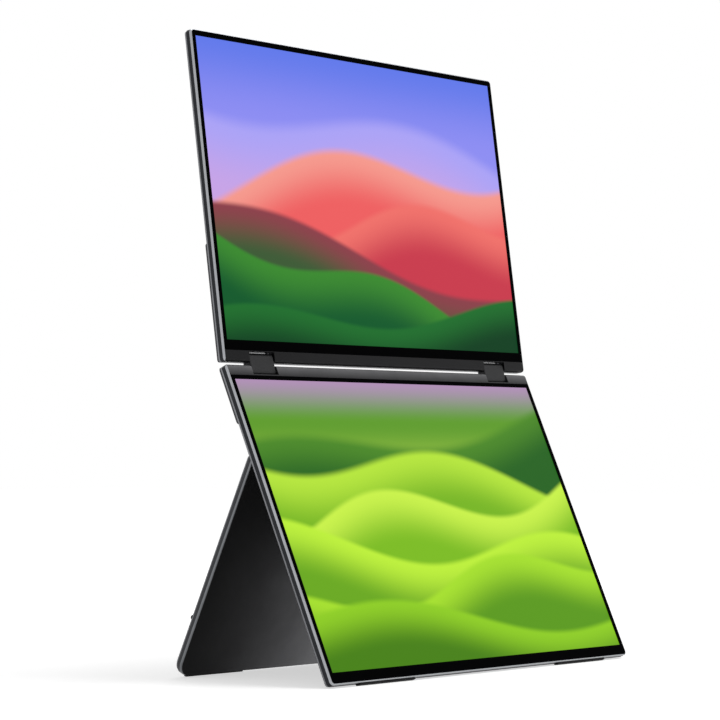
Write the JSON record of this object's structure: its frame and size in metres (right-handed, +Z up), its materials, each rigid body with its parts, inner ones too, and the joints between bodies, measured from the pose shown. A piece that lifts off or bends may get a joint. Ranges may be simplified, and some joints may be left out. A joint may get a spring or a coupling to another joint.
{
  "type": "folding dual portable monitor",
  "caption": "Portable monitor with stacked screens on double-axis folding hinges, side ports and buttons, and a full-width rear kickstand.",
  "frame": {"origin": "on the floor, under the centre of the object's bounding box in its working pose", "axes": "+X to the right as seen from the front, +Y to the back (the screens face -Y), +Z up"},
  "size_m": [0.3536, 0.147, 0.4523],
  "materials": {
    "cover_metal": "satin dark anodised",
    "trim_metal": "satin silver",
    "bezel_black": "satin black",
    "screen_glass": "semi-gloss",
    "tray_white": "matt white",
    "strip_metal": "satin dark grey",
    "board_green": "solder resist",
    "socket_steel": "plain steel",
    "ribbon_film": "amber film",
    "inner_black": "matt black",
    "hinge_steel": "plain steel",
    "button_plastic": "satin black",
    "foot_rubber": "matt black",
    "hinge_dark": "satin dark grey",
    "stand_black": "satin black sheet",
    "stand_skin": "satin dark grey"
  },
  "bodies": {
    "lower_display": {"lower_back_cover": "cover_metal", "lower_trim_frame": "trim_metal", "lower_front_bezel": "bezel_black", "lower_lcd_cell": "screen_glass", "lower_backlight_tray": "tray_white", "lower_hinge_strip": "strip_metal", "lower_main_board": "board_green", "lower_usb_c_sockets": "socket_steel", "lower_hdmi_socket": "socket_steel", "lower_display_ribbon": "ribbon_film", "lower_speakers": "inner_black", "lower_hinge_brackets": "hinge_steel", "lower_hinge_shafts": "hinge_steel", "lower_bracket_screws": "hinge_steel", "lower_board_screws": "hinge_steel", "lower_button_board": "board_green", "lower_button_switches": "inner_black", "lower_rubber_feet": "foot_rubber", "stand_hinge_brackets": "hinge_dark", "stand_bracket_screws": "hinge_steel", "stand_hinge_pins": "hinge_steel"},
    "hinge_links": {"hinge_housing_left": "hinge_dark", "hinge_housing_right": "hinge_dark", "hinge_end_caps": "hinge_dark", "hinge_cap_screws": "hinge_dark", "hinge_friction_washers": "hinge_steel"},
    "upper_display": {"upper_back_cover": "cover_metal", "upper_trim_frame": "trim_metal", "upper_front_bezel": "bezel_black", "upper_lcd_cell": "screen_glass", "upper_backlight_tray": "tray_white", "upper_hinge_strip": "strip_metal", "upper_main_board": "board_green", "upper_usb_c_sockets": "socket_steel", "upper_hdmi_socket": "socket_steel", "upper_display_ribbon": "ribbon_film", "upper_speakers": "inner_black", "upper_hinge_brackets": "hinge_steel", "upper_hinge_shafts": "hinge_steel", "upper_bracket_screws": "hinge_steel", "upper_board_screws": "hinge_steel", "upper_button_board": "board_green", "upper_button_switches": "inner_black"},
    "stand": {"stand_core_plate": "trim_metal", "stand_front_sheet": "stand_black", "stand_back_skin": "stand_skin", "stand_knuckles": "hinge_dark", "stand_knuckle_screws": "hinge_steel", "stand_rubber_feet": "foot_rubber", "stand_bumpers": "foot_rubber"},
    "lower_power_button": {"lower_power_button": "button_plastic"},
    "lower_menu_rocker": {"lower_menu_rocker": "button_plastic"},
    "upper_power_button": {"upper_power_button": "button_plastic"},
    "upper_menu_rocker": {"upper_menu_rocker": "button_plastic"}
  },
  "joints": [
    {"name": "lower_fold", "type": "hinge", "parent": "lower_display", "child": "hinge_links", "pos_m": [0, 0.02381, 0.21294], "axis": [-1, 0, 0], "range_deg": [-82.1, 52.9]},
    {"name": "upper_fold", "type": "hinge", "parent": "hinge_links", "child": "upper_display", "pos_m": [0, 0.0265, 0.22236], "axis": [-1, 0, 0], "range_deg": [-82.1, 52.9]},
    {"name": "stand_fold", "type": "hinge", "parent": "lower_display", "child": "stand", "pos_m": [0, 0.00236, 0.15191], "axis": [1, 0, 0], "range_deg": [-48.5, 41.49]},
    {"name": "lower_power_press", "type": "slide", "parent": "lower_display", "child": "lower_power_button", "axis": [-1, 0, 0], "range_m": [0, 0.0004], "stiffness_N_per_m": 300},
    {"name": "lower_menu_tip", "type": "hinge", "parent": "lower_display", "child": "lower_menu_rocker", "pos_m": [0.17515, -0.00088, 0.15672], "axis": [0, -0.915, 0.4035], "range_deg": [-3, 3], "stiffness_Nm_per_rad": 0.15},
    {"name": "upper_power_press", "type": "slide", "parent": "upper_display", "child": "upper_power_button", "axis": [-1, 0, 0], "range_m": [0, 0.0004], "stiffness_N_per_m": 300},
    {"name": "upper_menu_tip", "type": "hinge", "parent": "upper_display", "child": "upper_menu_rocker", "pos_m": [0.17515, 0.03514, 0.28315], "axis": [0, -0.9903, 0.1392], "range_deg": [-3, 3], "stiffness_Nm_per_rad": 0.15}
  ]
}
